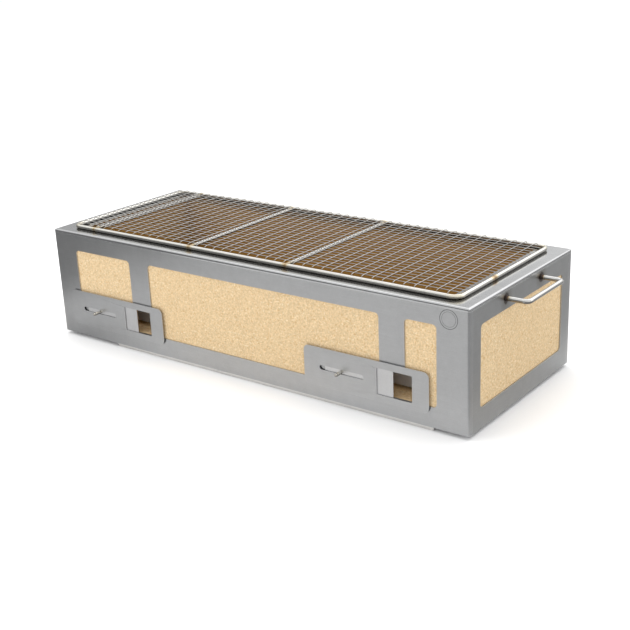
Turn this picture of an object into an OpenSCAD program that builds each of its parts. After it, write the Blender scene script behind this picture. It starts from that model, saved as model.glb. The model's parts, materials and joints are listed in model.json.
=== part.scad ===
// Tabletop hibachi grill: a welded steel case lined with insulating brick, with two sliding air
// vents, a loose charcoal tray and a loose cooking net.
// The sub-parts are drawn in the case's own frame: X along the length, Y from the front to the
// back, Z up from the underside of the case. at_case() then moves them so that the model's origin
// is the centre of the whole footprint at floor level.

/* [Case] */
// Length of the case, without its handles
case_l = 920; // [880:10:1000]
// Depth of the case from front to back
case_w = 355; // [345:5:380]
// Height of the case, without its runners and its net
case_h = 210; // [200:5:230]
// Thickness of the case's sheet steel
sheet = 2; // [1.5:0.5:2.5]
// Outside radius of the case's folded edges
fold_r = 4; // [3:0.5:5]
// Width of the top flange over each end
flange_end = 52; // [48:1:56]
// Width of the top flange along the front and the back
flange_side = 32; // [30:1:36]
// Depth of the lip that turns down around the opening
lip_h = 8; // [4:1:12]

/* [Windows] */
// Distance from each end of the case to its first window
window_margin = 57; // [50:1:60]
// Steel above the windows
window_top = 36; // [30:1:40]
// Steel below the windows
window_bottom = 35; // [30:1:38]
// Corner radius of the windows
window_r = 7; // [4:1:10]
// Width of the two posts between the windows of a long side
post_w = 48; // [40:1:56]
// Centre of the left post, from the middle of the case
left_post_x = -235; // [-250:1:-225]
// Centre of the right post, from the middle of the case
right_post_x = 321; // [310:1:330]
// Distance from the front and the back to the window in each end
end_window_margin = 36; // [30:1:50]

/* [Lining] */
// Thickness of the bricks behind the front and the back
side_brick = 28; // [26:1:30]
// Thickness of the bricks behind the ends
end_brick = 48; // [44:1:50]
// Thickness of the floor brick
floor_brick_h = 32; // [28:1:32]

/* [Air vents] */
// Centre of the left vent, from the middle of the case
left_vent_x = -304; // [-310:1:-298]
// Centre of the right vent, from the middle of the case
right_vent_x = 269; // [262:1:276]
// Height of the vents' centre line above the underside of the case
vent_z = 58; // [58:1:64]
// Length of a vent's cover plate
cover_l = 244; // [236:1:256]
// Height of a vent's cover plate
cover_h = 70; // [68:1:76]
// Thickness of a vent's cover plate
cover_t = 1.5; // [1:0.5:2]
// Length of the air opening
opening_l = 67; // [60:1:70]
// Height of the air opening
opening_h = 46; // [40:1:48]
// Length of the slot that the knob runs in
slot_l = 88; // [80:1:90]
// Height of the slot that the knob runs in
slot_h = 8; // [7:0.5:9]
// Diameter of the knob
knob_d = 6; // [5:0.5:6]
// How far the knob stands in front of the cover plate
knob_out = 16; // [10:1:20]

/* [Handles] */
// Diameter of the handle rod
handle_d = 8; // [7:0.5:9]
// Distance between the two feet of a handle
handle_span = 122; // [110:2:140]
// Height of the handles above the underside of the case
handle_z = 192; // [190:1:194]
// Distance from the end of the case to the middle of the grip
handle_out = 38; // [34:1:46]

/* [Cooking net] */
// Length of the net, between the middles of its end rods
net_l = 854; // [844:2:860]
// Width of the net, between the middles of its long rods
net_w = 305; // [301:1:311]
// Diameter of the net's outer rod
net_rod_d = 8; // [6:0.5:9]
// Diameter of the three crossbars
crossbar_d = 7; // [5:0.5:7]
// Diameter of the woven wires
wire_d = 1.4; // [1.2:0.2:2.6]
// Number of wires that run from front to back
cross_wires = 42; // [30:1:50]
// Number of wires that run from end to end
long_wires = 23; // [16:1:28]

/* [Charcoal tray] */
// Length of the tray's floor
tray_l = 780; // [700:10:790]
// Width of the tray's floor
tray_w = 270; // [230:5:275]
// Height of the tray's walls
tray_h = 45; // [30:1:60]
// Height of the bars that hold the tray off the floor brick
tray_foot_h = 4; // [4:0.5:12]

/* [Runners] */
// Length of the two runners under the case
runner_l = 710; // [600:10:720]
// Middle of the runners, from the middle of the case
runner_x = 40; // [0:5:50]
// Height of the runners
runner_h = 7; // [5:1:12]
// Width of the runners
runner_w = 20; // [16:1:30]
// Distance from the front or the back of the case to the nearer edge of a runner
runner_inset = 4; // [3:1:20]

/* [Hidden] */
$fn = 48;
corner_steps = 6;
// How far a cutting solid runs past the surface that it cuts
past = 1;
// Gap between two pieces that rest on each other along a line
seat_gap = 0.05;

// Case: the panels stop below the top frame, and the long panels turn the corners
seam_z = case_h - fold_r - sheet;
corner_return = fold_r + 8;
opening_x = case_l - 2 * flange_end;
opening_y = case_w - 2 * flange_side;
flange_opening_r = 6;
window_h = case_h - window_top - window_bottom;
window_z = window_bottom + window_h / 2;
end_window_l = case_w - 2 * end_window_margin;

// Lining
brick_gap = 1;
brick_top = case_h - sheet - brick_gap;
lining_x = case_l / 2 - sheet - end_brick;
lining_y = case_w / 2 - sheet - side_brick;
floor_z = sheet + floor_brick_h;

// Air vents: the damper slides in the gap that the two guide strips leave behind the cover
damper_t = 1.5;
damper_play = 0.2;
guide_t = damper_t + 2 * damper_play;
guide_h = 7;
guide_inset = 1;
cover_r = 10;
opening_r = 2;
damper_h = cover_h - 2 * (guide_h + guide_inset) - 1;
// Places along a vent, from the middle of its cover plate
slot_x = -46;
opening_mid_x = 57.5;
damper_right_x = opening_mid_x - opening_l / 2 + 0.46 * opening_l;
damper_left_x = -cover_l / 2 + slot_l / 2 - knob_d / 2 + 1;
backing_inset = 5;
rivet_d = 4;
front_y = -case_w / 2;
cover_y = front_y - guide_t;
knob_tip_y = cover_y - cover_t - knob_out;

// Handles
handle_bend_r = 9;
weld_d = 10;
weld_h = 2;

// Net: the rods rest on the flange, with the crossbars level with their tops and the wires above
net_corner_r = 15;
net_rod_z = case_h + seat_gap + net_rod_d / 2;
net_rod_top = net_rod_z + net_rod_d / 2;
crossbar_z = net_rod_top - crossbar_d / 2;
// Places of the crossbars, as fractions of the net's length from its left end
crossbar_at = [0.067, 0.354, 0.611];
long_wire_z = net_rod_top + wire_d / 2 + seat_gap;
cross_wire_z = long_wire_z + wire_d + seat_gap;

// Charcoal tray
tray_sheet = 1.5;
tray_z = floor_z + tray_foot_h;
tray_rim = 6;
tray_r = 5;
tray_slots = 26;
tray_slot_w = 8;
tray_slot_l = 92;
tray_foot_w = 12;

// Runners
runner_sheet = 1.5;

// The knobs are the only thing that stands in front of the case, so the footprint's middle is
// half of that distance in front of the case's middle.
case_shift_y = (front_y - knob_tip_y) / 2;

// ---- Shared shapes ----

module at_case() {
    translate([0, case_shift_y, runner_h]) children();
}

// Points of a quarter circle about (x, y), from the angle start
function quarter(x, y, r, start) = [
    for (i = [0:corner_steps])
        let (a = start + 90 * i / corner_steps)
        [x + r * cos(a), y + r * sin(a)]
];

// A rectangle with rounded corners, centred on the origin
module round_rect(w, h, r) {
    x = w / 2 - r;
    y = h / 2 - r;
    polygon(concat(
        quarter(x, y, r, 0), quarter(-x, y, r, 90),
        quarter(-x, -y, r, 180), quarter(x, -y, r, 270)
    ));
}

// A closed band of the given width inside a rounded rectangle
module round_band(w, h, r, band) {
    difference() {
        round_rect(w, h, r);
        round_rect(w - 2 * band, h - 2 * band, max(r - band, 1));
    }
}

// A flat shape drawn in X and Z, as a plate that starts at y and runs back by t
module upright(y, t) {
    translate([0, y + t, 0]) rotate([90, 0, 0]) linear_extrude(t) children();
}

// A box given by its lowest and highest corners
module span(low, high) {
    translate(low) cube(high - low);
}

module rod_x(l, d) {
    rotate([0, 90, 0]) cylinder(h = l, d = d, center = true);
}

module rod_y(l, d) {
    rotate([90, 0, 0]) cylinder(h = l, d = d, center = true);
}

// A quarter bend of rod in the XY plane, about the origin
module rod_bend(r, d) {
    rotate_extrude(angle = 90) translate([r, 0]) circle(d = d);
}

// ---- Case ----

// The solid block that the case's outside follows, with its three sets of folded edges
module case_block() {
    intersection() {
        linear_extrude(case_h) round_rect(case_l, case_w, fold_r);
        upright(front_y - past, case_w + 2 * past) round_rect(case_l, 2 * case_h, fold_r);
        translate([-case_l / 2 - past, 0, 0]) rotate([90, 0, 90]) linear_extrude(case_l + 2 * past)
            round_rect(case_w, 2 * case_h, fold_r);
    }
}

// One window of a long panel, from x0 to x1
module long_window(x0, x1) {
    translate([(x0 + x1) / 2, window_z]) round_rect(x1 - x0, window_h, window_r);
}

module long_windows() {
    long_window(window_margin - case_l / 2, left_post_x - post_w / 2);
    long_window(left_post_x + post_w / 2, right_post_x - post_w / 2);
    long_window(right_post_x + post_w / 2, case_l / 2 - window_margin);
}

// The steel kept behind a vent's cover, so that the damper has a flat face to slide on
module vent_backing(x) {
    translate([x, vent_z]) square([cover_l - 2 * backing_inset, cover_h - 2 * backing_inset], center = true);
}

module air_opening(x) {
    translate([x + opening_mid_x, vent_z]) round_rect(opening_l, opening_h, opening_r);
}

// A long side with its folded corners and no windows, on the front
module long_wall() {
    linear_extrude(seam_z) intersection() {
        difference() {
            round_rect(case_l, case_w, fold_r);
            square([case_l - 2 * sheet, case_w - 2 * sheet], center = true);
        }
        translate([-case_l / 2, front_y]) square([case_l, corner_return]);
    }
}

module front_panel() {
    color("lightslategray") at_case() difference() {
        long_wall();
        upright(front_y - past, sheet + 2 * past) difference() {
            long_windows();
            vent_backing(left_vent_x);
            vent_backing(right_vent_x);
        }
        upright(front_y - past, sheet + 2 * past) air_opening(left_vent_x);
        upright(front_y - past, sheet + 2 * past) air_opening(right_vent_x);
    }
}

module back_panel() {
    color("lightslategray") at_case() rotate([0, 0, 180]) difference() {
        long_wall();
        upright(front_y - past, sheet + 2 * past) long_windows();
    }
}

// An end of the case, on the right
module end_panel() {
    difference() {
        span(
            [case_l / 2 - sheet, front_y + corner_return, 0],
            [case_l / 2, -front_y - corner_return, seam_z]
        );
        translate([case_l / 2 - sheet - past, 0, window_z]) rotate([90, 0, 90])
            linear_extrude(sheet + 2 * past) round_rect(end_window_l, window_h, window_r);
    }
}

module left_end_panel() {
    color("slategray") at_case() mirror([1, 0, 0]) end_panel();
}

module right_end_panel() {
    color("slategray") at_case() end_panel();
}

// The top flange, with its folded outer edge and the lip around its opening
module top_frame() {
    color("silver") at_case() {
        difference() {
            case_block();
            span([-case_l, -case_w, -past], [case_l, case_w, seam_z]);
            span(
                [sheet - case_l / 2, sheet - case_w / 2, 0],
                [case_l / 2 - sheet, case_w / 2 - sheet, case_h - sheet]
            );
            linear_extrude(case_h + past) round_rect(opening_x, opening_y, flange_opening_r);
        }
        translate([0, 0, case_h - sheet - lip_h]) linear_extrude(lip_h + sheet / 2)
            round_band(opening_x + 2 * sheet, opening_y + 2 * sheet, flange_opening_r + sheet, sheet);
    }
}

module base_plate() {
    color("dimgray") at_case()
        span([sheet - case_l / 2, sheet + front_y, 0], [case_l / 2 - sheet, -front_y - sheet, sheet]);
}

// A folded channel under the front of the case, with its flat web on the floor
module runner() {
    translate([runner_x, front_y + runner_inset, -runner_h]) difference() {
        upright(0, runner_w) translate([0, runner_h]) intersection() {
            round_rect(runner_l, 2 * runner_h, fold_r - past);
            translate([-runner_l, -runner_h]) square([2 * runner_l, runner_h]);
        }
        span([-runner_l / 2 + runner_sheet, runner_sheet, runner_sheet],
            [runner_l / 2 - runner_sheet, runner_w - runner_sheet, runner_h + past]);
    }
}

module front_runner() {
    color("gray") at_case() runner();
}

module rear_runner() {
    color("gray") at_case() mirror([0, 1, 0]) runner();
}

// ---- Lining ----

// The air opening goes on through the front brick, level with the top of the floor brick
module brick_tunnel(x) {
    span([x + opening_mid_x - opening_l / 2, front_y, floor_z],
        [x + opening_mid_x + opening_l / 2, -lining_y + past, vent_z + opening_h / 2]);
}

module front_brick() {
    color("burlywood") at_case() difference() {
        span([sheet - case_l / 2, sheet + front_y, sheet], [case_l / 2 - sheet, -lining_y, brick_top]);
        brick_tunnel(left_vent_x);
        brick_tunnel(right_vent_x);
    }
}

module back_brick() {
    color("burlywood") at_case()
        span([sheet - case_l / 2, lining_y, sheet], [case_l / 2 - sheet, -front_y - sheet, brick_top]);
}

module left_brick() {
    color("tan") at_case() span([sheet - case_l / 2, -lining_y, sheet], [-lining_x, lining_y, brick_top]);
}

module right_brick() {
    color("tan") at_case() span([lining_x, -lining_y, sheet], [case_l / 2 - sheet, lining_y, brick_top]);
}

module floor_brick() {
    color("peru") at_case() span([-lining_x, -lining_y, sheet], [lining_x, lining_y, floor_z]);
}

// ---- Air vents ----

// The strips above and below the damper
module vent_guides(x) {
    for (side = [-1, 1])
        upright(cover_y, guide_t)
            translate([x, vent_z + side * (cover_h / 2 - guide_inset - guide_h / 2)])
            square([cover_l - 2 * cover_r, guide_h], center = true);
}

module vent_cover(x) {
    upright(cover_y - cover_t, cover_t) difference() {
        translate([x, vent_z]) round_rect(cover_l, cover_h, cover_r);
        translate([x + slot_x, vent_z]) round_rect(slot_l, slot_h, 0.48 * slot_h);
        air_opening(x);
    }
}

module damper(x) {
    difference() {
        upright(cover_y + damper_play, damper_t)
            translate([x + (damper_left_x + damper_right_x) / 2, vent_z])
            square([damper_right_x - damper_left_x, damper_h], center = true);
        translate([x + slot_x, front_y, vent_z]) rod_y(4 * guide_t, rivet_d);
    }
}

// The knob, with the thinner end that is riveted into the damper
module damper_knob(x) {
    tip = 1;
    translate([x + slot_x, cover_y + damper_play, vent_z]) rotate([90, 0, 0]) {
        translate([0, 0, -damper_t]) cylinder(h = damper_t + past, d = rivet_d);
        cylinder(h = cover_t + damper_play + knob_out - tip, d = knob_d);
        translate([0, 0, cover_t + damper_play + knob_out - tip])
            cylinder(h = tip, d1 = knob_d, d2 = knob_d - 2 * tip);
    }
}

module left_vent_guides() {
    color("darkgray") at_case() vent_guides(left_vent_x);
}

module right_vent_guides() {
    color("darkgray") at_case() vent_guides(right_vent_x);
}

module left_vent_cover() {
    color("lightgray") at_case() vent_cover(left_vent_x);
}

module right_vent_cover() {
    color("lightgray") at_case() vent_cover(right_vent_x);
}

module left_damper() {
    color("gainsboro") at_case() damper(left_vent_x);
}

module right_damper() {
    color("gainsboro") at_case() damper(right_vent_x);
}

module left_damper_knob() {
    color("silver") at_case() damper_knob(left_vent_x);
}

module right_damper_knob() {
    color("silver") at_case() damper_knob(right_vent_x);
}

// ---- Handles ----

// A bent rod on the right end, with a weld around each foot
module handle() {
    grip_l = handle_span - 2 * handle_bend_r;
    leg_l = handle_out - handle_bend_r;
    translate([case_l / 2, 0, handle_z]) {
        for (side = [-1, 1]) {
            translate([leg_l / 2, side * handle_span / 2, 0]) rod_x(leg_l, handle_d);
            translate([leg_l, side * grip_l / 2, 0]) rotate([0, 0, side > 0 ? 0 : -90])
                rod_bend(handle_bend_r, handle_d);
            translate([0, side * handle_span / 2, 0]) rotate([0, 90, 0])
                cylinder(h = weld_h, d1 = weld_d, d2 = handle_d);
        }
        translate([handle_out, 0, 0]) rod_y(grip_l, handle_d);
    }
}

module left_handle() {
    color("silver") at_case() mirror([1, 0, 0]) handle();
}

module right_handle() {
    color("silver") at_case() handle();
}

// ---- Charcoal tray ----

module tray_slots() {
    pitch = (tray_l - 30) / tray_slots;
    for (i = [0:tray_slots - 1], side = [-1, 1])
        translate([(i - (tray_slots - 1) / 2) * pitch, side * tray_w / 4])
            square([tray_slot_w, tray_slot_l], center = true);
}

module charcoal_tray() {
    color("dimgray") at_case() translate([0, 0, tray_z]) {
        linear_extrude(tray_sheet) difference() {
            round_rect(tray_l, tray_w, tray_r);
            tray_slots();
        }
        linear_extrude(tray_h) round_band(tray_l, tray_w, tray_r, tray_sheet);
        translate([0, 0, tray_h - tray_sheet]) linear_extrude(tray_sheet)
            round_band(
                tray_l + 2 * tray_rim, tray_w + 2 * tray_rim,
                tray_r + tray_rim, tray_rim + tray_sheet
            );
    }
}

// The bars under the tray
module tray_feet() {
    color("gray") at_case() for (x = [-0.49, -0.17, 0.17, 0.49] * (tray_l - 2 * tray_foot_w))
        span(
            [x - tray_foot_w / 2, 10 - tray_w / 2, floor_z],
            [x + tray_foot_w / 2, tray_w / 2 - 10, tray_z]
        );
}

// ---- Cooking net ----

module net_frame() {
    x = net_l / 2 - net_corner_r;
    y = net_w / 2 - net_corner_r;
    color("silver") at_case() translate([0, 0, net_rod_z]) {
        for (side = [-1, 1]) {
            translate([0, side * net_w / 2, 0]) rod_x(2 * x, net_rod_d);
            translate([side * net_l / 2, 0, 0]) rod_y(2 * y, net_rod_d);
        }
        translate([x, y, 0]) rod_bend(net_corner_r, net_rod_d);
        translate([-x, y, 0]) rotate([0, 0, 90]) rod_bend(net_corner_r, net_rod_d);
        translate([-x, -y, 0]) rotate([0, 0, 180]) rod_bend(net_corner_r, net_rod_d);
        translate([x, -y, 0]) rotate([0, 0, 270]) rod_bend(net_corner_r, net_rod_d);
    }
}

module net_crossbars() {
    color("silver") at_case() for (at = crossbar_at)
        translate([(at - 0.5) * net_l, 0, crossbar_z]) rod_y(net_w - net_rod_d - seat_gap, crossbar_d);
}

module net_long_wires() {
    pitch = net_w / (long_wires + 1);
    color("lightgray") at_case() for (i = [1:long_wires])
        translate([0, i * pitch - net_w / 2, long_wire_z]) rod_x(net_l + net_rod_d / 2, wire_d);
}

module net_cross_wires() {
    pitch = net_l / (cross_wires + 1);
    color("lightgray") at_case() for (i = [1:cross_wires])
        translate([i * pitch - net_l / 2, 0, cross_wire_z]) rod_y(net_w + net_rod_d / 2, wire_d);
}

front_panel();
back_panel();
left_end_panel();
right_end_panel();
top_frame();
base_plate();
front_runner();
rear_runner();
front_brick();
back_brick();
left_brick();
right_brick();
floor_brick();
left_vent_guides();
right_vent_guides();
left_vent_cover();
right_vent_cover();
left_damper();
right_damper();
left_damper_knob();
right_damper_knob();
left_handle();
right_handle();
charcoal_tray();
tray_feet();
net_frame();
net_crossbars();
net_long_wires();
net_cross_wires();
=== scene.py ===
"""The looks of a brick-lined tabletop hibachi grill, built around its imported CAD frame.

The sheet-steel panels, bricks, vent plates, tray and runners are the CAD nodes themselves, with
softened edges and procedural materials. The cooking net, the handles and the vent knobs are
rebuilt here in finer mesh, and each rides on the body of the node that it stands for.
"""

import json
import math
import random

import bmesh
import bpy
from mathutils import Matrix, Vector, noise

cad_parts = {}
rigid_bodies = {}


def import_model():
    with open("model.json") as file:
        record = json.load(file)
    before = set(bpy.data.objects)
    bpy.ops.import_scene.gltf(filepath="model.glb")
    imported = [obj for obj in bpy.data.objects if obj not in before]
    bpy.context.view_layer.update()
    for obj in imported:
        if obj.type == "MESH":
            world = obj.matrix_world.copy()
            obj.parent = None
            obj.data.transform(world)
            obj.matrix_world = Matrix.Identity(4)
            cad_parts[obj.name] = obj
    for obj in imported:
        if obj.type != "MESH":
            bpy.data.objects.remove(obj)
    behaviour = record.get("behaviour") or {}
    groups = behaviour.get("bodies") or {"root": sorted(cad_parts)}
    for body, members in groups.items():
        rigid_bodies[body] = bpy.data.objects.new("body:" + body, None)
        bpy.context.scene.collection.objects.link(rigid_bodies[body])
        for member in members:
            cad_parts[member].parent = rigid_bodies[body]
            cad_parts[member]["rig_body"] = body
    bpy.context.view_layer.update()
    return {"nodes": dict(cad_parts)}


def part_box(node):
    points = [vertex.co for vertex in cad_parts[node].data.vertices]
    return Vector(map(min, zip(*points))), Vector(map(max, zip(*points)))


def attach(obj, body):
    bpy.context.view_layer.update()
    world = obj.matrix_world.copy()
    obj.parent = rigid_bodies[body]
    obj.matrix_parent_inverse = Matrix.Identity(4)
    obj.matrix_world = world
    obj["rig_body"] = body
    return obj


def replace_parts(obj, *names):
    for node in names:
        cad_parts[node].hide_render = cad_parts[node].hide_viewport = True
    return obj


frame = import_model()
CAD = frame["nodes"]

X, Y, Z = Vector((1, 0, 0)), Vector((0, 1, 0)), Vector((0, 0, 1))
MM = 0.001
random.seed(7)


# ---- Places, read from the frame ----

def solid_middles(node):
    """The middle of each separate solid in a CAD node, from left to right."""
    mesh = bmesh.new()
    mesh.from_mesh(CAD[node].data)
    bmesh.ops.remove_doubles(mesh, verts=mesh.verts, dist=1e-6)
    left, found = set(mesh.verts), []
    while left:
        group = [left.pop()]
        for vert in group:
            for edge in vert.link_edges:
                other = edge.other_vert(vert)
                if other in left:
                    left.discard(other)
                    group.append(other)
        low = Vector([min(v.co[i] for v in group) for i in range(3)])
        high = Vector([max(v.co[i] for v in group) for i in range(3)])
        found.append((low, high))
    mesh.free()
    found.sort(key=lambda box: (round(box[0].x, 5), round(box[0].y, 5)))
    return [(low + high) / 2 for low, high in found]


def lining_space():
    """(centre, half size) of the space within the bricks' lining, open upwards."""
    low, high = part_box("floor_brick")
    return (
        ((low.x + high.x) / 2, (low.y + high.y) / 2, 0),
        ((high.x - low.x) / 2, (high.y - low.y) / 2, 1),
    )


def fire_space():
    """(centre, half size) of the space within the charcoal tray, open upwards. It starts in the
    middle of the tray's sheet, so that only the sheet's inner faces lie in it."""
    floor_sheet, wall_sheet = 0.8 * MM, 6.8 * MM  # from the underside, from the rim's edge
    tall = 0.5
    low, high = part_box("charcoal_tray")
    return (
        ((low.x + high.x) / 2, (low.y + high.y) / 2, low.z + floor_sheet + tall),
        ((high.x - low.x) / 2 - wall_sheet, (high.y - low.y) / 2 - wall_sheet, tall),
    )


def handle_feet():
    """(one foot of the right handle, as distances from the middle of the case; that middle)"""
    low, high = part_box("right_handle")
    inset = (high.z - low.z) / 2
    span = (high.y - low.y) / 2 - inset
    return (low.x, span, (low.z + high.z) / 2), (0, (low.y + high.y) / 2, 0)


# ---- Node trees ----

MIX_A, MIX_B, MIX_RESULT = 6, 7, 2  # the colour sockets of a Mix node


def connect(tree, value, socket):
    """Gives a socket a plain value, or links another node's output to it."""
    if isinstance(value, bpy.types.NodeSocket):
        tree.links.new(value, socket)
    else:
        socket.default_value = value


def add(tree, kind, settings=None, **inputs):
    """A new node. An input is a number, a colour or another node's output, and _ in its name
    stands for a space."""
    made = tree.nodes.new(kind)
    for key, value in (settings or {}).items():
        setattr(made, key, value)
    for key, value in inputs.items():
        connect(tree, value, made.inputs[key.replace("_", " ")])
    return made


def calc(tree, operation, *values, clamp=False):
    """The result of a Math node."""
    made = add(tree, "ShaderNodeMath", {"operation": operation, "use_clamp": clamp})
    for i, value in enumerate(values):
        connect(tree, value, made.inputs[i])
    return made.outputs[0]


def vector_calc(tree, operation, *values, out=0):
    """The result of a Vector Math node."""
    made = add(tree, "ShaderNodeVectorMath", {"operation": operation})
    for i, value in enumerate(values):
        connect(tree, value, made.inputs[i])
    return made.outputs[out]


def axes(tree, vector):
    """The X, Y and Z of a vector, by name."""
    return add(tree, "ShaderNodeSeparateXYZ", Vector=vector).outputs


def remap(tree, value, start, end, low=0.0, high=1.0):
    """value going from start to end, as a smooth step from low to high."""
    made = add(tree, "ShaderNodeMapRange", {"interpolation_type": "SMOOTHSTEP"}, Value=value)
    for socket, number in zip(made.inputs[1:5], (start, end, low, high)):
        socket.default_value = number
    return made.outputs[0]


def mix(tree, share, a, b, blend="MIX"):
    """Colour a turned into colour b by share."""
    made = add(tree, "ShaderNodeMix", {"data_type": "RGBA", "blend_type": blend}, Factor=share)
    for index, value in ((MIX_A, a), (MIX_B, b)):
        colour = value if isinstance(value, bpy.types.NodeSocket) else (*value, 1)
        connect(tree, colour, made.inputs[index])
    return made.outputs[MIX_RESULT]


def speckle(tree, coord, scale, detail, rough, stretch=(1, 1, 1)):
    """Noise from 0 to 1 with about scale features a metre."""
    place = vector_calc(tree, "MULTIPLY", coord, stretch)
    made = add(
        tree, "ShaderNodeTexNoise", Vector=place, Scale=scale, Detail=detail, Roughness=rough
    )
    return made.outputs["Fac"]


def varied(tree, value, *parts):
    """value, higher and lower by up to half of amount for each (noise, amount) of parts."""
    for part, amount in parts:
        change = calc(tree, "MULTIPLY", calc(tree, "SUBTRACT", part, 0.5), amount)
        value = calc(tree, "ADD", value, change)
    return value


def lit(tree, colour, light):
    """A colour made brighter or darker by a factor."""
    made = vector_calc(tree, "SCALE", colour)
    connect(tree, light, made.node.inputs["Scale"])
    return made


def edge_wear(tree, radius, amount):
    """Near 0 on flat faces, rising to amount where two faces meet."""
    soft = add(tree, "ShaderNodeBevel", {"samples": 4}, Radius=radius)
    flat = tree.nodes.new("ShaderNodeNewGeometry").outputs["True Normal"]
    same = vector_calc(tree, "DOT_PRODUCT", soft.outputs["Normal"], flat, out=1)
    return remap(tree, same, 0.995, 0.8, high=amount)


def inside(tree, coord, space):
    """1 for points within space, which is (centre, half size), and 0 outside it."""
    centre, half = space
    place = vector_calc(tree, "ABSOLUTE", vector_calc(tree, "SUBTRACT", coord, centre))
    deep = axes(tree, vector_calc(tree, "SUBTRACT", half, place))
    nearest = calc(tree, "MINIMUM", calc(tree, "MINIMUM", deep["X"], deep["Y"]), deep["Z"])
    return remap(tree, nearest, -0.5 * MM, 0.0)


def new_material(name):
    """(material, node tree, its Principled node, object coordinates)"""
    material = bpy.data.materials.new(name)
    material.use_nodes = True
    tree = material.node_tree
    coord = tree.nodes.new("ShaderNodeTexCoord").outputs["Object"]
    return material, tree, tree.nodes["Principled BSDF"], coord


def surface(tree, shader, shade, rough, metallic=0.0):
    """Gives a Principled node its colour, roughness and share of metal."""
    connect(tree, shade, shader.inputs["Base Color"])
    connect(tree, rough, shader.inputs["Roughness"])
    shader.inputs["Metallic"].default_value = metallic


def bump(tree, shader, height, strength, distance):
    """Fine relief, at most distance deep."""
    made = add(tree, "ShaderNodeBump", Height=height, Strength=strength, Distance=distance)
    tree.links.new(made.outputs["Normal"], shader.inputs["Normal"])


# ---- Materials ----

WORN_STEEL = (0.86, 0.86, 0.87)
WORN_TRAY = (0.86, 0.85, 0.83)
STAIN_BROWN, STAIN_BLACK = (0.20, 0.17, 0.13), (0.06, 0.04, 0.03)
# The colour of the painted shade on faces that point down.
UNDERSIDE_PAINTED_SHADE = (0.07, 0.06, 0.05)
BRICK_RUST, BRICK_PALE = (0.50, 0.29, 0.12), (0.82, 0.70, 0.50)
BRICK_PORE, BRICK_CLOUD = (0.30, 0.22, 0.13), (0.66, 0.46, 0.24)
# The painted shade multiplied into the bricks' faces inside the firebox.
BRICK_INSIDE_PAINTED_SHADE = (0.62, 0.465, 0.21)
# The browns of the steel inside the charcoal tray.
TRAY_INSIDE_BROWN_DARK, TRAY_INSIDE_BROWN_LIGHT = (0.20, 0.115, 0.045), (0.36, 0.215, 0.085)
ETCHED_DARK, ETCHED_LIGHT = (0.07, 0.07, 0.07), (0.17, 0.17, 0.18)
TEMPER_COLOURS = (  # (heat, colour): straw, gold, brown, black scale
    (0.00, (1.00, 1.00, 1.00)), (0.22, (0.98, 0.93, 0.80)), (0.38, (0.80, 0.63, 0.40)),
    (0.52, (0.50, 0.34, 0.21)), (0.66, (0.28, 0.19, 0.17)), (0.80, (0.14, 0.11, 0.10)),
    (1.00, (0.06, 0.045, 0.035)),
)
UNDERSIDE_SPAN = 0.65  # change in the normal's upward part over which the dark sets in


def underside(tree, shade, underside_shade, start=0.35):
    """Metal colour shade, darkened by a painted shade where it faces down; the third argument is
    its strength. start is the upward part of the surface normal at which the dark begins."""
    up = axes(tree, tree.nodes.new("ShaderNodeNewGeometry").outputs["Normal"])["Z"]
    # Painted shade, stronger the more the surface faces down.
    return mix(tree, remap(tree, up, start, start - UNDERSIDE_SPAN, high=underside_shade), shade, UNDERSIDE_PAINTED_SHADE)


def foot_stains(tree, shade, coord, ragged, feet):
    """Brown and then black heat stains round the welded feet, mirrored about the middle."""
    foot, centre = feet
    place = vector_calc(tree, "ABSOLUTE", vector_calc(tree, "SUBTRACT", coord, centre))
    away = varied(tree, vector_calc(tree, "DISTANCE", place, foot, out=1), (ragged, 6 * MM))
    shade = mix(tree, remap(tree, away, 24 * MM, 10 * MM, high=0.35), shade, STAIN_BROWN)
    return mix(tree, remap(tree, away, 11 * MM, 7 * MM, high=0.85), shade, STAIN_BLACK)


def sheet_steel(name, colour, roughness, brush, grain=0.10, blotch=0.10, feet=None, underside_shade=0.0):
    """Satin sheet steel: faint brushing along one axis, fine grain, soft blotches and brighter
    edges. With feet, welded feet have stained it. Given a strength of underside shade as its last
    argument, it has painted shade where it faces down."""
    material, tree, shader, coord = new_material(name)
    lines = speckle(tree, coord, scale=900, detail=2.0, rough=0.6, stretch=brush)
    fine = speckle(tree, coord, scale=520, detail=2.5, rough=0.7)
    mottle = speckle(tree, coord, scale=60, detail=3.0, rough=0.6)
    cloud = speckle(tree, coord, scale=6, detail=2.0, rough=0.5)
    light = varied(tree, 1.0, (lines, 0.20), (fine, grain * 2), (mottle, 0.14), (cloud, blotch * 2))
    wear = edge_wear(tree, 0.9 * MM, 0.75)
    shade = mix(tree, wear, lit(tree, colour, light), WORN_STEEL)
    rough = varied(tree, roughness, (lines, 0.16), (cloud, 0.14))
    rough = calc(tree, "SUBTRACT", rough, calc(tree, "MULTIPLY", wear, 0.12), clamp=True)
    if feet:
        shade = foot_stains(tree, shade, coord, mottle, feet)
    # Painted shade on faces that point down.
    if underside_shade:
        shade = underside(tree, shade, underside_shade, start=-0.05)
    surface(tree, shader, shade, rough, metallic=1.0)
    fine_height = calc(tree, "MULTIPLY", fine, 0.8)
    height = calc(tree, "ADD", calc(tree, "MULTIPLY", lines, 0.5), fine_height)
    bump(tree, shader, height, 0.22, 0.10 * MM)
    return material


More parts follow.
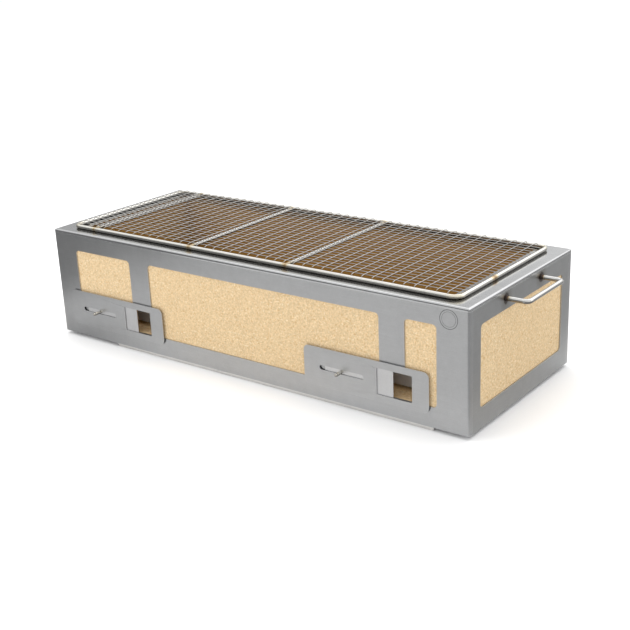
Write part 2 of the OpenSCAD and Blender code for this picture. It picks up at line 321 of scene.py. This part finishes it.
def firebrick(name, colour, lining=None):
    """Cream insulating brick with fine sandy grain, pale and rusty specks and small pores. Its
    faces within the space lining are painted a deeper brown, as painted shade inside the firebox."""
    material, tree, shader, coord = new_material(name)
    sand = speckle(tree, coord, scale=420, detail=3.0, rough=0.7)
    rust = speckle(tree, coord, scale=300, detail=1.0, rough=0.5)
    elsewhere = vector_calc(tree, "ADD", coord, (3.1, 1.7, 0.4))
    pale = speckle(tree, elsewhere, scale=260, detail=1.0, rough=0.5)
    pores = add(tree, "ShaderNodeTexVoronoi", Vector=coord, Scale=210.0).outputs["Distance"]
    cloud = speckle(tree, coord, scale=9, detail=3.0, rough=0.5)
    dark, light = [c * 0.76 for c in colour], [min(c * 1.20, 1) for c in colour]
    shade = mix(tree, remap(tree, sand, 0.25, 0.75), dark, light)
    shade = mix(tree, remap(tree, rust, 0.58, 0.70, high=0.60), shade, BRICK_RUST)
    shade = mix(tree, remap(tree, pale, 0.60, 0.72, high=0.65), shade, BRICK_PALE)
    shade = mix(tree, remap(tree, pores, 0.13, 0.05, high=0.45), shade, BRICK_PORE)
    shade = mix(tree, remap(tree, cloud, 0.3, 0.7, high=0.10), shade, BRICK_CLOUD)
    # Painted shade: the faces inside the firebox are darkened to a deeper brown.
    if lining:
        heated = mix(tree, 1.0, shade, BRICK_INSIDE_PAINTED_SHADE, "MULTIPLY")
        shade = mix(tree, inside(tree, coord, lining), shade, heated)
    surface(tree, shader, shade, 0.93)
    shader.inputs["Specular IOR Level"].default_value = 0.25
    height = calc(tree, "ADD", sand, remap(tree, pores, 0.05, 0.14, low=-0.8, high=0.0))
    bump(tree, shader, height, 0.45, 0.35 * MM)
    return material


def heat_colours(tree, shade, heat):
    """Metal colour shade, tempered by heat from 0 to 1."""
    ramp = tree.nodes.new("ShaderNodeValToRGB")
    stops = ramp.color_ramp.elements
    stops[0].color, stops[1].color = (*TEMPER_COLOURS[0][1], 1), (*TEMPER_COLOURS[-1][1], 1)
    for position, colour in TEMPER_COLOURS[1:-1]:
        stops.new(position).color = (*colour, 1)
    tree.links.new(heat, ramp.inputs["Fac"])
    return mix(tree, 1.0, shade, ramp.outputs["Color"], "MULTIPLY")


def rod_steel(name, colour, roughness, underside_shade, start=0.35):
    """Bright drawn rod or wire, with painted shade where it faces down, as strong as its fourth
    argument. A piece's weld_heat attribute says where its welds have stained it."""
    material, tree, shader, coord = new_material(name)
    fine = speckle(tree, coord, scale=700, detail=2.0, rough=0.6)
    patch = speckle(tree, coord, scale=45, detail=3.0, rough=0.6)
    shade = lit(tree, colour, varied(tree, 1.0, (fine, 0.24), (patch, 0.20)))
    heat = add(tree, "ShaderNodeAttribute", {"attribute_name": "weld_heat"}).outputs["Fac"]
    uneven = calc(tree, "ADD", 0.7, calc(tree, "MULTIPLY", patch, 0.6))
    stain = calc(tree, "MULTIPLY", heat, uneven, clamp=True)
    # The weld stains, and then painted shade on the rod's lower side.
    shade = underside(tree, heat_colours(tree, shade, stain), underside_shade, start)
    rough = varied(tree, roughness, (patch, 0.15))
    rough = calc(tree, "ADD", rough, calc(tree, "MULTIPLY", stain, 0.25), clamp=True)
    surface(tree, shader, shade, rough, metallic=1.0)
    bump(tree, shader, fine, 0.15, 0.08 * MM)
    return material


def dark_steel(name, colour, roughness, fire):
    """Dull mill-finish steel with scale, for the tray and the floor plate. Within the space fire it
    is coloured a darker brown."""
    material, tree, shader, coord = new_material(name)
    scale = speckle(tree, coord, scale=35, detail=4.0, rough=0.65)
    fine = speckle(tree, coord, scale=500, detail=2.0, rough=0.6)
    shade = lit(tree, colour, varied(tree, 1.0, (scale, 0.35), (fine, 0.14)))
    shade = mix(tree, edge_wear(tree, 1.4 * MM, 0.9), shade, WORN_TRAY)
    # Inside the tray the steel is a darker brown.
    burnt = mix(tree, scale, TRAY_INSIDE_BROWN_DARK, TRAY_INSIDE_BROWN_LIGHT)
    shade = mix(tree, inside(tree, coord, fire), shade, burnt)
    surface(tree, shader, shade, varied(tree, roughness, (scale, 0.25)), metallic=0.3)
    bump(tree, shader, calc(tree, "ADD", scale, fine), 0.2, 0.15 * MM)
    return material


def etched_steel(name):
    """Steel darkened by etching, for the blank ring mark."""
    material, tree, shader, coord = new_material(name)
    fine = speckle(tree, coord, scale=900, detail=2.0, rough=0.6)
    surface(tree, shader, mix(tree, fine, ETCHED_DARK, ETCHED_LIGHT), 0.6, metallic=0.6)
    bump(tree, shader, fine, 0.2, 0.1 * MM)
    return material


# ---- CAD nodes: edges and finish ----

def smooth_by_angle(limit):
    """A geometry node group that shades smoothly across edges flatter than limit."""
    group = bpy.data.node_groups.new("smooth_by_angle", "GeometryNodeTree")
    group.interface.new_socket("Geometry", in_out="INPUT", socket_type="NodeSocketGeometry")
    group.interface.new_socket("Geometry", in_out="OUTPUT", socket_type="NodeSocketGeometry")
    entry = group.nodes.new("NodeGroupInput").outputs[0]
    plain = add(group, "GeometryNodeRemoveAttribute", Geometry=entry, Name="custom_normal")
    smooth = "GeometryNodeSetShadeSmooth"
    faces = add(group, smooth, {"domain": "FACE"}, Geometry=plain.outputs[0])
    angle = group.nodes.new("GeometryNodeInputMeshEdgeAngle").outputs["Unsigned Angle"]
    flat = add(group, "FunctionNodeCompare", {"operation": "LESS_THAN"}, A=angle, B=limit)
    edges = add(
        group, smooth, {"domain": "EDGE"}, Geometry=faces.outputs[0], Shade_Smooth=flat.outputs[0]
    )
    group.links.new(edges.outputs[0], group.nodes.new("NodeGroupOutput").inputs[0])
    return group


SMOOTH = smooth_by_angle(math.radians(50))


def soften(piece, width):
    """Joins a CAD node's faces, rounds its edges by width and shades its folds smoothly."""
    weld = piece.modifiers.new("weld", "WELD")
    weld.merge_threshold = 0.002 * MM
    bevel = piece.modifiers.new("bevel", "BEVEL")
    bevel.limit_method = "ANGLE"
    bevel.angle_limit = math.radians(35)
    bevel.width = width
    bevel.segments = 2
    piece.modifiers.new("smooth", "NODES").node_group = SMOOTH
    weighted = piece.modifiers.new("weighted", "WEIGHTED_NORMAL")
    weighted.keep_sharp = True


def finish_nodes(nodes, material, width):
    """Gives CAD nodes their material and their softened edges."""
    for node in nodes:
        slots = CAD[node].data.materials
        for i in range(len(slots)):
            slots[i] = material
        soften(CAD[node], width)


# ---- Rebuilt pieces: rods, welds and rings ----

class Shape:
    """Points, faces and heat (0 bright steel, 1 burnt black) of one piece."""

    def __init__(self):
        self.points, self.faces, self.heat = [], [], []

    def ring(self, centre, u, v, radii, heat):
        """A ring of points round centre, at radii from it."""
        step = 2 * math.pi / len(radii)
        for k, radius in enumerate(radii):
            way = u * math.cos(k * step) + v * math.sin(k * step)
            self.points.append(centre + way * radius)
            self.heat.append(heat)

    def skin(self, first, rings, sides, closed=False):
        """Faces between rings that start at point number first."""
        for i in range(rings if closed else rings - 1):
            a, b = first + i * sides, first + (i + 1) % rings * sides
            for k in range(sides):
                n = (k + 1) % sides
                self.faces.append((a + k, a + n, b + n, b + k))
        if not closed:
            last = first + (rings - 1) * sides
            self.faces.append(tuple(range(first + sides - 1, first - 1, -1)))
            self.faces.append(tuple(range(last, last + sides)))

    def piece(self, name, node, material, slot):
        """Makes the mesh, on the body of the CAD node that it replaces or lies on."""
        mesh = bpy.data.meshes.new(name)
        mesh.from_pydata(self.points, [], self.faces)
        mesh.shade_smooth()
        mesh.set_sharp_from_angle(angle=math.radians(50))
        attribute = mesh.attributes.new("weld_heat", "FLOAT", "POINT")
        attribute.data.foreach_set("value", self.heat)
        mesh.materials.append(material)
        made = bpy.data.objects.new(name, mesh)
        bpy.context.scene.collection.objects.link(made)
        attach(made, CAD[node]["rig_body"])
        return made

    def replace(self, node, name, material, slot="rod_steel"):
        """Makes the mesh in the place of a CAD node."""
        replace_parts(self.piece(name, node, material, slot), node)


TIP_RISE, TIP_SHARE = 0.35, 0.72  # a rod's rounded tip: its height and its radius, in rod radii


def rod(shape, path, across, radius, sides, heat, closed=False):
    """A rod along path, which lies in a plane square to across. heat is a function of a point on
    the path, and so may radius be. An open rod has rounded ends."""
    size = radius if callable(radius) else lambda p: radius
    stops = [(p, size(p)) for p in path]
    if not closed:
        start, end = (path[0] - path[1]).normalized(), (path[-1] - path[-2]).normalized()
        r0, r1 = stops[0][1], stops[-1][1]
        first_tip = (path[0] + start * r0 * TIP_RISE, r0 * TIP_SHARE)
        last_tip = (path[-1] + end * r1 * TIP_RISE, r1 * TIP_SHARE)
        stops = [first_tip] + stops + [last_tip]
    first, count = len(shape.points), len(stops)
    for i, (p, r) in enumerate(stops):
        before = stops[i - 1][0] if i or closed else p
        after = stops[(i + 1) % count][0] if i < count - 1 or closed else p
        side = (after - before).normalized().cross(across).normalized()
        shape.ring(p, side, across, [r] * sides, heat(p))
    shape.skin(first, count, sides, closed)


def bead(shape, centre, size, heat, seed):
    """A lump of weld metal, about size from its centre along each axis."""
    rings, sides = 6, 10
    first = len(shape.points)
    for i in range(rings):
        tilt = math.pi * (i + 0.35) / (rings - 0.3)
        for k in range(sides):
            turn = 2 * math.pi * k / sides
            flat = math.sin(tilt)
            way = Vector((flat * math.cos(turn), flat * math.sin(turn), math.cos(tilt)))
            lump = 0.86 + 0.14 * noise.noise(way * 2.3 + Vector((seed, 0, 0)))
            shape.points.append(centre + Vector([w * s * lump for w, s in zip(way, size)]))
            shape.heat.append(heat)
    for i in range(rings - 1):
        a, b = first + i * sides, first + (i + 1) * sides
        for k in range(sides):
            n = (k + 1) % sides
            shape.faces.append((a + k, b + k, b + n, a + n))
    shape.faces.append(tuple(range(first, first + sides)))
    last = first + (rings - 1) * sides
    shape.faces.append(tuple(range(last + sides - 1, last - 1, -1)))


def spaced(a, b, step):
    """Points from a to b, at most step apart."""
    count = max(1, math.ceil((b - a).length / step))
    return [a.lerp(b, i / count) for i in range(count + 1)]


def arc(centre, radius, start, end, steps=10):
    """Points of an arc in the XY plane, with its angles in degrees."""
    angles = [math.radians(start + (end - start) * i / steps) for i in range(steps + 1)]
    return [centre + Vector((math.cos(a), math.sin(a), 0)) * radius for a in angles]


def warmth(spots):
    """A heat function: each spot is (point, reach, heat at its middle), with a ragged edge."""
    def heat(p):
        ragged = 1 + 0.5 * noise.noise(p * 90)
        near = [(top, 1 - (p - at).length / (reach * ragged)) for at, reach, top in spots]
        return max([0.0] + [top * max(0.0, share) for top, share in near])
    return heat


# ---- Cooking net ----

NET_CORNER = 15 * MM
BUTT_PLACE = 0.36  # where the outer rod's ends meet, as a share of the right end from the front
BUTT_LENGTH = 4 * MM
WELD_REACH = 15 * MM
WIRE_TRIM = 3.6 * MM  # how far a wire stops short of the outer edge of the outer rod
WIRE_HEAT = (0.0, 0.4)  # the least and most heat at a wire's end
WIRE_END_RISE = 0.7  # height of a wire's end over the outer rod, in wire radii
WIRE_LEAN = 0.5 * MM  # how far the middle of a cross wire may stray sideways
CROSS_PRESS, LONG_PRESS = 5 * MM, 8 * MM  # length over which a wire bends to the outer rod
CRIMP = 0.4  # how far a long wire rises between two cross wires, in wire radii

net_low, net_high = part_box("net_frame")
ROD = (net_high.z - net_low.z) / 2
ROD_Z = (net_high.z + net_low.z) / 2
NET_X0, NET_X1 = net_low.x + ROD, net_high.x - ROD
NET_Y0, NET_Y1 = net_low.y + ROD, net_high.y - ROD
BUTT_Y = NET_Y0 + BUTT_PLACE * (NET_Y1 - NET_Y0)
CROSSBARS = solid_middles("net_crossbars")
CROSS_WIRES = solid_middles("net_cross_wires")
LONG_WIRES = solid_middles("net_long_wires")
WIRE = (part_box("net_cross_wires")[1].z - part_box("net_cross_wires")[0].z) / 2
WIRE_END_Z = net_high.z + WIRE * WIRE_END_RISE


def weld_spots():
    """Where the outer rod has been heated: its corners, the crossbars' ends and its butt weld."""
    spots = []
    for x in (NET_X0, NET_X1):
        for y in (NET_Y0, NET_Y1):
            reach, top = random.uniform(1.2, 2.2) * WELD_REACH, random.uniform(0.20, 0.36)
            spots.append((Vector((x, y, ROD_Z)), reach, top))
    for bar in CROSSBARS:
        for y in (NET_Y0, NET_Y1):
            reach, top = random.uniform(0.5, 0.9) * WELD_REACH, random.uniform(0.34, 0.54)
            spots.append((Vector((bar.x, y, ROD_Z)), reach, top))
    return spots + [(Vector((NET_X1, BUTT_Y, ROD_Z)), WELD_REACH, 0.6)]


def outer_rod_radius(p):
    """The outer rod's radius: a little under the CAD's, and swelling to it at the butt weld."""
    radius = 0.985
    if p.x > NET_X1 - 1 * MM:
        radius += 0.015 * math.cos(min(abs(p.y - BUTT_Y) / BUTT_LENGTH, math.pi))
    return ROD * radius


def net_frame(material):
    """The outer rod, one closed loop."""
    r = NET_CORNER
    corners = (
        (NET_X1 - r, NET_Y0 + r, -90), (NET_X1 - r, NET_Y1 - r, 0),
        (NET_X0 + r, NET_Y1 - r, 90), (NET_X0 + r, NET_Y0 + r, 180),
    )
    path = []
    for x, y, start in corners:
        bend = arc(Vector((x, y, ROD_Z)), r, start, start + 90)
        if path:
            path += spaced(path[-1], bend[0], 6 * MM)[1:-1]
        path += bend
    path += spaced(path[-1], path[0], 6 * MM)[1:-1]
    shape = Shape()
    rod(shape, path, Z, outer_rod_radius, 20, warmth(weld_spots()), closed=True)
    shape.replace("net_frame", "net_outer_rod", material)


def net_crossbars(material):
    """The three crossbars, with a bead of weld on each side of both ends."""
    bead_size = (2.6 * MM, 3.0 * MM, 2.2 * MM)
    bead_in, bead_up = 1.5 * MM, 0.6 * MM
    low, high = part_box("net_crossbars")
    radius = (high.z - low.z) / 2
    shape = Shape()
    for n, bar in enumerate(CROSSBARS):
        ends = [Vector((bar.x, y, bar.z)) for y in (low.y, high.y)]
        heat = warmth([(end, 1.2 * WELD_REACH, 0.45) for end in ends])
        rod(shape, spaced(ends[0], ends[1], 8 * MM), X, radius, 16, heat)
        for k, end in enumerate(ends):
            inward = bead_in if k == 0 else -bead_in
            for side in (-1, 1):
                place = end + Vector((side * radius * 0.75, inward, bead_up))
                bead(shape, place, bead_size, random.uniform(0.40, 0.70), n * 4 + k * 2 + side)
    shape.replace("net_crossbars", "net_crossbar_rods", material)


def wire_heat(path, reach):
    """The heat of a wire that is spot-welded at both ends."""
    return warmth([(end, reach, random.uniform(*WIRE_HEAT)) for end in (path[0], path[-1])])


def cross_wires(material):
    """Wires from front to back: nearly straight, with their ends pressed down on the outer rod."""
    low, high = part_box("net_cross_wires")
    y0, y1 = low.y + WIRE_TRIM, high.y - WIRE_TRIM
    shape = Shape()
    for wire in CROSS_WIRES:
        lean = random.uniform(-WIRE_LEAN, WIRE_LEAN)
        path = []
        for point in spaced(Vector((wire.x, y0, 0)), Vector((wire.x, y1, 0)), 3.2 * MM):
            share = (point.y - y0) / (y1 - y0)
            drop = max(0.0, 1 - min(point.y - y0, y1 - point.y) / CROSS_PRESS)
            drop = drop * drop * (3 - 2 * drop)
            x = wire.x + lean * math.sin(share * math.pi)
            path.append(Vector((x, point.y, wire.z + (WIRE_END_Z - wire.z) * drop)))
        rod(shape, path, X, WIRE, 8, wire_heat(path, 9 * MM))
    shape.replace("net_cross_wires", "net_top_wires", material, "wire_steel")


def long_wires(material):
    """Wires from end to end, crimped so that each one dips under every cross wire."""
    low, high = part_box("net_long_wires")
    under = (low.z + high.z) / 2
    between = under + CRIMP * WIRE
    x0, x1 = low.x + WIRE_TRIM, high.x - WIRE_TRIM
    stops = [x0] + [wire.x for wire in CROSS_WIRES] + [x1]
    steps = 6
    shape = Shape()
    for wire in LONG_WIRES:
        path = []
        for a, b in zip(stops, stops[1:]):
            for i in range(steps):
                t = i / steps
                x = a + (b - a) * t
                lift = math.sin(t * math.pi) ** 1.5
                end = max(0.0, 1 - min(x - x0, x1 - x) / LONG_PRESS)
                z = under + (between - under) * lift * (1 - end)
                path.append(Vector((x, wire.y, z + (WIRE_END_Z - under) * end)))
        path.append(Vector((x1, wire.y, WIRE_END_Z)))
        rod(shape, path, Y, WIRE, 8, wire_heat(path, 8 * MM))
    shape.replace("net_long_wires", "net_crimped_wires", material, "wire_steel")


# ---- Handles ----

HANDLE_ROD = 4 * MM
HANDLE_BEND = 9 * MM
COLLAR_WAVES, COLLAR_WAVE = 11, 0.035  # waves round a weld collar, and their share of its radius


def weld_collar(shape, foot, out, seed):
    """Rippled weld metal round the foot of a handle, from the panel up to the rod."""
    low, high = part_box("right_handle")
    wide = (high.z - low.z) / 2
    profile = (  # (rise in mm, radius)
        (0.0, wide * 0.97), (0.6, wide * 0.95), (1.2, wide * 0.90),
        (1.8, HANDLE_ROD * 1.04), (2.4, HANDLE_ROD * 0.98),
    )
    sides = 40
    first = len(shape.points)
    for rise, radius in profile:
        wave = COLLAR_WAVE if radius > HANDLE_ROD * 1.1 else 0.0
        turns = [COLLAR_WAVES * 2 * math.pi * k / sides + seed for k in range(sides)]
        radii = [min(radius * (1 + wave * math.sin(turn)), wide) for turn in turns]
        shape.ring(foot + out * (rise * MM), Y, Z, radii, 1.0 - 0.07 * rise)
    shape.skin(first, len(profile), sides)


def handle(name, material):
    """A bent rod between two welded feet."""
    low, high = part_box(name)
    right = high.x > 0
    out = X if right else -X
    panel = low.x if right else high.x
    grip = (high.x - HANDLE_ROD) if right else (low.x + HANDLE_ROD)
    z = (low.z + high.z) / 2
    inset = (high.z - low.z) / 2
    y0, y1 = low.y + inset, high.y - inset
    feet = [Vector((panel, y, z)) for y in (y0, y1)]
    bend_x = grip - out.x * HANDLE_BEND
    first_bend = arc(Vector((bend_x, y0 + HANDLE_BEND, z)), HANDLE_BEND, -90, 0)
    last_bend = arc(Vector((bend_x, y1 - HANDLE_BEND, z)), HANDLE_BEND, 0, 90)
    if not right:
        first_bend = [Vector((2 * bend_x - p.x, p.y, p.z)) for p in first_bend]
        last_bend = [Vector((2 * bend_x - p.x, p.y, p.z)) for p in last_bend]
    start, end = [foot + out * (0.5 * MM) for foot in feet]
    path = spaced(start, first_bend[0], 3 * MM)[:-1] + first_bend
    path += spaced(first_bend[-1], last_bend[0], 10 * MM)[1:-1] + last_bend
    path += spaced(last_bend[-1], end, 3 * MM)[1:]
    shape = Shape()
    rod(shape, path, Z, HANDLE_ROD, 24, warmth([(foot, 9 * MM, 1.1) for foot in feet]))
    for seed, foot in enumerate(feet):
        weld_collar(shape, foot, out, seed * 1.7)
    shape.replace(name, name + "_rod", material)


# ---- Vent knobs ----

KNOB_PROFILE = (  # (depth from the pin's front in mm, share of its radius): domed and waisted
    (0.00, 0.45), (0.12, 0.66), (0.35, 0.84), (0.80, 0.96), (1.30, 1.00), (3.60, 1.00),
    (3.90, 0.90), (4.60, 0.90), (4.90, 1.00), (10.0, 0.98), (15.0, 0.99), (15.6, 1.00),
)


def knob(node, material):
    """A turned pin with a domed, slightly waisted end."""
    low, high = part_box(node)
    radius = (high.x - low.x) / 2
    x, z = (low.x + high.x) / 2, (low.z + high.z) / 2
    sides = 28
    shape = Shape()
    for depth, share in KNOB_PROFILE:
        shape.ring(Vector((x, low.y + depth * MM, z)), Z, X, [radius * share] * sides, 0.06)
    shape.ring(Vector((x, high.y, z)), Z, X, [radius * 0.66] * sides, 0.3)
    shape.skin(0, len(KNOB_PROFILE) + 1, sides)
    shape.replace(node, node + "_pin", material)


# ---- Ring mark ----

MARK_IN, MARK_DOWN = 35.5 * MM, 17 * MM  # its middle, from the front panel's right and top edges
MARK_RINGS = ((16.0 * MM, 0.9 * MM), (12.4 * MM, 0.45 * MM))  # (outer radius, width)
MARK_RISE = 0.06 * MM


def ring_mark(material):
    """A blank etched mark of two rings at the front's top right corner, in a badge's place."""
    low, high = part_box("front_panel")
    centre = Vector((high.x - MARK_IN, low.y, high.z - MARK_DOWN))
    sides = 96
    shape = Shape()
    for outer, width in MARK_RINGS:
        inner = outer - width
        first = len(shape.points)
        for radius, rise in ((outer, 0.0), (outer, MARK_RISE), (inner, MARK_RISE), (inner, 0.0)):
            shape.ring(centre - Y * rise, X, Z, [radius] * sides, 0.0)
        shape.skin(first, 4, sides, closed=True)
    shape.piece("ring_mark", "front_panel", material, "case_steel")


# ---- Stage ----

def in_reflections(tree, plain, reflected):
    """One value for what the camera and the brick see, another for what the steel reflects."""
    glossy = tree.nodes.new("ShaderNodeLightPath").outputs["Is Glossy Ray"]
    change = calc(tree, "MULTIPLY", glossy, calc(tree, "SUBTRACT", reflected, plain))
    return calc(tree, "ADD", plain, change)


def floor_tone(tree):
    """How bright the floor is. The steel reflects it as grey at the far left and to the right.
    In front it is half bright, and close to the grill it is darker on the left, brighter on the
    right."""
    place = axes(tree, tree.nodes.new("ShaderNodeNewGeometry").outputs["Position"])
    left = remap(tree, place["X"], -0.72, -0.50, 0.16, 0.80)
    right = remap(tree, place["X"], 0.40, 0.60, 0.80, 0.30)
    close = remap(tree, place["Y"], -0.33, -0.20)
    change = remap(tree, place["X"], -0.46, -0.20, -0.14, 0.24)
    front = calc(tree, "ADD", 0.55, calc(tree, "MULTIPLY", close, change))
    reflected = calc(tree, "MINIMUM", calc(tree, "MINIMUM", left, right), front)
    plain = remap(tree, place["Y"], 0.6, 2.5, 0.93, 1.0)
    return in_reflections(tree, plain, reflected)


def floor():
    """A plain white floor that runs out past the edge of the picture."""
    bpy.ops.mesh.primitive_plane_add(size=80)
    made = bpy.context.object
    made.name = "stage_floor"
    material, tree, shader, _ = new_material("stage_white")
    tone = floor_tone(tree)
    grey = tree.nodes.new("ShaderNodeCombineColor")
    for channel in grey.inputs[:3]:
        tree.links.new(tone, channel)
    surface(tree, shader, grey.outputs[0], 0.9)
    shader.inputs["Specular IOR Level"].default_value = 0.1
    made.data.materials.append(material)


def sky_tone(tree):
    """How bright the surroundings are. Low down the steel reflects them as greyer at the far
    left, to the right and in front. High up, and lower towards the right, they are white in front
    and brighter still behind the grill."""
    way = axes(tree, tree.nodes.new("ShaderNodeTexCoord").outputs["Generated"])
    plain = remap(tree, way["Z"], 0.0, 0.9, 1.0, 1.03)
    left = remap(tree, way["X"], -0.49, -0.385, 0.50, 0.90)
    right = remap(tree, way["X"], -0.1, 0.5, 0.90, 0.30)
    front = remap(tree, way["Y"], -0.4, 0.3, 0.40, 1.0)
    side = calc(tree, "MULTIPLY", calc(tree, "MINIMUM", left, right), front)
    lean = calc(tree, "MULTIPLY", calc(tree, "MAXIMUM", way["X"], 0.0), 0.4)
    above = remap(tree, calc(tree, "ADD", way["Z"], lean), 0.28, 0.56)
    bright = remap(tree, way["Y"], 0.1, 0.6, 1.0, 1.7)
    change = calc(tree, "MULTIPLY", above, calc(tree, "SUBTRACT", bright, side))
    return in_reflections(tree, plain, calc(tree, "ADD", side, change))


def world():
    """Pale studio surroundings."""
    made = bpy.data.worlds.new("studio")
    bpy.context.scene.world = made
    made.use_nodes = True
    tree = made.node_tree
    back = tree.nodes["Background"]
    tree.links.new(sky_tone(tree), back.inputs["Strength"])
    back.inputs["Color"].default_value = (1.0, 1.0, 1.0, 1)


def softbox(name, place, aim, width, height, power):
    """A soft light that leaves no shape of its own in the steel's reflections."""
    light = bpy.data.lights.new(name, "AREA")
    light.shape = "RECTANGLE"
    light.size, light.size_y = width, height
    light.energy = power
    made = bpy.data.objects.new(name, light)
    bpy.context.scene.collection.objects.link(made)
    made.visible_glossy = False
    made.location = place
    made.rotation_mode = "QUATERNION"
    made.rotation_quaternion = (Vector(aim) - Vector(place)).to_track_quat("-Z", "Y")


AZIMUTH, ELEVATION, ROLL = math.radians(37.6), math.radians(20.0), math.radians(2.5)
DISTANCE, LENS = 2.085, 64.2
AIM = Vector((0.035, 0, -0.036))  # what the camera looks at, from the middle of the panels


def camera():
    """The view from the front right, a little above the net."""
    flat = math.cos(ELEVATION)
    forward = Vector((
        -math.sin(AZIMUTH) * flat, math.cos(AZIMUTH) * flat, -math.sin(ELEVATION),
    ))
    right = Vector((math.cos(AZIMUTH), math.sin(AZIMUTH), 0))
    up = right.cross(forward)
    target = (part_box("front_panel")[0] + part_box("back_panel")[1]) / 2 + AIM
    data = bpy.data.cameras.new("camera")
    data.lens = LENS
    made = bpy.data.objects.new("camera", data)
    bpy.context.scene.collection.objects.link(made)
    turned_right = right * math.cos(ROLL) - up * math.sin(ROLL)
    turned_up = right * math.sin(ROLL) + up * math.cos(ROLL)
    turned = Matrix((turned_right, turned_up, -forward)).transposed().to_4x4()
    made.matrix_world = Matrix.Translation(target - forward * DISTANCE) @ turned
    bpy.context.scene.camera = made


# ---- Assembly ----

ALONG_X, ALONG_Y = (0.02, 1, 1), (1, 0.02, 1)  # the stretch of brushing that runs along an axis
SHEET_EDGE, PLATE_EDGE, TRAY_EDGE = 0.15 * MM, 0.3 * MM, 0.7 * MM
RUNNER_EDGE, BRICK_EDGE = 0.9 * MM, 0.8 * MM


def case():
    """The panels, the flange, the runners and the bricks."""
    steel = sheet_steel("case_steel", (0.50, 0.505, 0.51), 0.34, ALONG_X)
    end_steel = sheet_steel("end_steel", (0.47, 0.475, 0.475), 0.36, ALONG_Y, feet=handle_feet())
    flange_steel = sheet_steel("flange_steel", (0.55, 0.555, 0.56), 0.16, ALONG_X, grain=0.05)
    # The runners' steel is much paler than the case's: a painted reflection of the white floor on
    # their fronts, with painted shade along their lower edges.
    runner_painted_sheen_steel = sheet_steel("runner_painted_sheen_steel", (0.86, 0.84, 0.81), 0.30, ALONG_X, underside_shade=0.9)
    brick = firebrick("firebrick", (0.66, 0.50, 0.30), lining_space())
    floor_brick = firebrick("floor_firebrick", (0.76, 0.58, 0.34))
    finish_nodes(("front_panel", "back_panel"), steel, SHEET_EDGE)
    finish_nodes(("left_end_panel", "right_end_panel"), end_steel, SHEET_EDGE)
    finish_nodes(("top_frame",), flange_steel, SHEET_EDGE)
    finish_nodes(("front_runner", "rear_runner"), runner_painted_sheen_steel, RUNNER_EDGE)
    walls = ("front_brick", "back_brick", "left_brick", "right_brick")
    finish_nodes(walls, brick, BRICK_EDGE)
    finish_nodes(("floor_brick",), floor_brick, BRICK_EDGE)
    ring_mark(etched_steel("etched_steel"))


def tray_and_floor_plate():
    """The charcoal tray on its bars, and the case's steel floor."""
    steel = dark_steel("tray_steel", (0.47, 0.475, 0.49), 0.42, fire_space())
    finish_nodes(("base_plate", "charcoal_tray", "tray_feet"), steel, TRAY_EDGE)


def vents_and_handles(knob_steel):
    """The vent guides, covers, dampers and knobs, and the handles."""
    vent_steel = sheet_steel(
        "vent_steel", (0.52, 0.525, 0.53), 0.36, ALONG_X, grain=0.06, blotch=0.06
    )
    damper_steel = sheet_steel("damper_steel", (0.66, 0.66, 0.665), 0.36, ALONG_Y, grain=0.08)
    # The handle's steel is a darker copy of the bright rod steel, as painted shade, and has painted
    # shade where it faces down.
    handle_steel = rod_steel("handle_steel", (0.68, 0.675, 0.66), 0.20, underside_shade=0.65)
    for side in ("left", "right"):
        finish_nodes((side + "_vent_guides",), vent_steel, SHEET_EDGE)
        finish_nodes((side + "_vent_cover",), vent_steel, PLATE_EDGE)
        finish_nodes((side + "_damper",), damper_steel, PLATE_EDGE)
        knob(side + "_damper_knob", knob_steel)
        handle(side + "_handle", handle_steel)


def cooking_net(outer_steel):
    """The outer rod, the crossbars and both layers of wire."""
    # Painted shade where these rods and wires face down; on the crossbars it reaches high up their
    # sides.
    crossbar_steel = rod_steel("crossbar_steel", (0.60, 0.59, 0.565), 0.26, underside_shade=0.85, start=0.78)
    top_wire_steel = rod_steel("top_wire_steel", (0.51, 0.505, 0.49), 0.30, underside_shade=0.5)
    low_wire_steel = rod_steel("low_wire_steel", (0.53, 0.52, 0.50), 0.32, underside_shade=0.5)
    net_frame(outer_steel)
    net_crossbars(crossbar_steel)
    cross_wires(top_wire_steel)
    long_wires(low_wire_steel)


def studio():
    """The floor, the surroundings, the lights and the camera."""
    floor()
    world()
    softbox("overhead", (-0.3, 0.6, 2.4), (-0.1, 0.2, 0), width=3.4, height=3.4, power=52)
    softbox("front_key", (-1.6, -2.2, 1.5), (0, 0, 0.1), width=1.6, height=1.2, power=14)
    camera()
    bpy.context.scene.view_settings.view_transform = "Standard"


# Painted shade on the lower side of the outer rod and the knobs.
bright_rod = rod_steel("rod_steel", (0.78, 0.765, 0.72), 0.20, underside_shade=0.75)
case()
tray_and_floor_plate()
vents_and_handles(bright_rod)
cooking_net(bright_rod)
studio()
